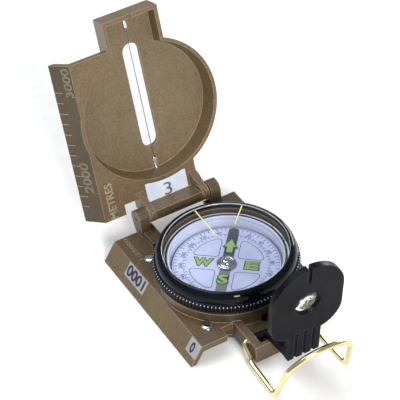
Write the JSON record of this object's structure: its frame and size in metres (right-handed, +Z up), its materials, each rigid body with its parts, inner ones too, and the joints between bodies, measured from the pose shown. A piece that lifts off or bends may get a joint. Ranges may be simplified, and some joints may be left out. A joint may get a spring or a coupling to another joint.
{
  "type": "sighting compass",
  "caption": "Folding sighting compass with a hinged lid and sighting wire, turning bezel over a damped dial, fold-out lens bracket, ruler edge and wire thumb loop.",
  "frame": {"origin": "centre of the flat underside of the base, on the bezel axis", "axes": "+Z up out of the dial, +Y towards the lid hinge, +X to the right; drawn with the lid open and the lens bracket and thumb loop swung out"},
  "size_m": [0.0565, 0.1288, 0.0788],
  "materials": {
    "painted_casting": "satin olive-brown paint on die-cast metal, worn at the edges",
    "bright_steel": "bright plated steel",
    "dark_wire": "fine drawn wire",
    "white_plastic": "white moulding",
    "dial_print": "white card printed with a degree scale",
    "magnet_grey": "grey coated magnet",
    "hub_brass": "turned brass",
    "seal_rubber": "black rubber",
    "clear_plastic": "clear moulded window",
    "clear_glass": "clear glass",
    "lens_clear": "ground lens",
    "label_plate": "light grey printed plate",
    "bezel_black": "glossy black",
    "luminous_yellow": "luminous paint",
    "bracket_black": "satin black moulding",
    "polished_brass": "polished brass wire"
  },
  "bodies": {
    "base": {"base_frame": "painted_casting", "bottom_cover": "painted_casting", "cover_screws": "bright_steel", "bezel_spring": "bright_steel", "bezel_retainer": "bright_steel", "capsule_cup": "white_plastic", "capsule_seal": "seal_rubber", "capsule_window": "clear_plastic", "pivot_post": "bright_steel", "hinge_pin": "bright_steel", "bracket_pin": "bright_steel", "scale_label_1000": "label_plate", "scale_label_0": "label_plate"},
    "bezel": {"bezel_ring": "bezel_black", "bezel_glass": "clear_glass", "glass_gasket": "seal_rubber", "long_bearing_line": "luminous_yellow", "short_bearing_line": "luminous_yellow"},
    "dial": {"dial_card": "dial_print", "bar_magnet": "magnet_grey", "jewel_cup": "hub_brass", "hub_cap": "bright_steel"},
    "lid": {"lid_casting": "painted_casting", "sighting_wire": "dark_wire", "upper_ferrule": "bright_steel", "lower_ferrule": "bright_steel", "number_label": "label_plate"},
    "bracket": {"lens_bracket": "bracket_black", "sight_lens": "lens_clear", "lens_retainer": "bracket_black"},
    "loop": {"thumb_loop": "polished_brass"}
  },
  "joints": [
    {"name": "lid_hinge", "type": "hinge", "parent": "base", "child": "lid", "pos_m": [0, 0.0343, 0.0126], "axis": [-1, 0, 0], "range_deg": [-107.2, 72.8]},
    {"name": "bezel_turn", "type": "hinge", "parent": "base", "child": "bezel", "pos_m": [0, 0, 0.0145], "axis": [0, 0, 1], "continuous": true},
    {"name": "dial_turn", "type": "hinge", "parent": "base", "child": "dial", "pos_m": [0, 0, 0.01], "axis": [0, 0, 1], "continuous": true},
    {"name": "lens_bracket_fold", "type": "hinge", "parent": "base", "child": "bracket", "pos_m": [0, -0.0318, 0.0063], "axis": [1, 0, 0], "range_deg": [-96.8, 0]},
    {"name": "thumb_loop_swing", "type": "hinge", "parent": "base", "child": "loop", "pos_m": [0, -0.0318, 0.0063], "axis": [1, 0, 0], "range_deg": [-104.5, 0]}
  ],
  "couplings": [
    {"joint": "thumb_loop_swing", "follows": "lens_bracket_fold", "ratio": 1.0788}
  ]
}
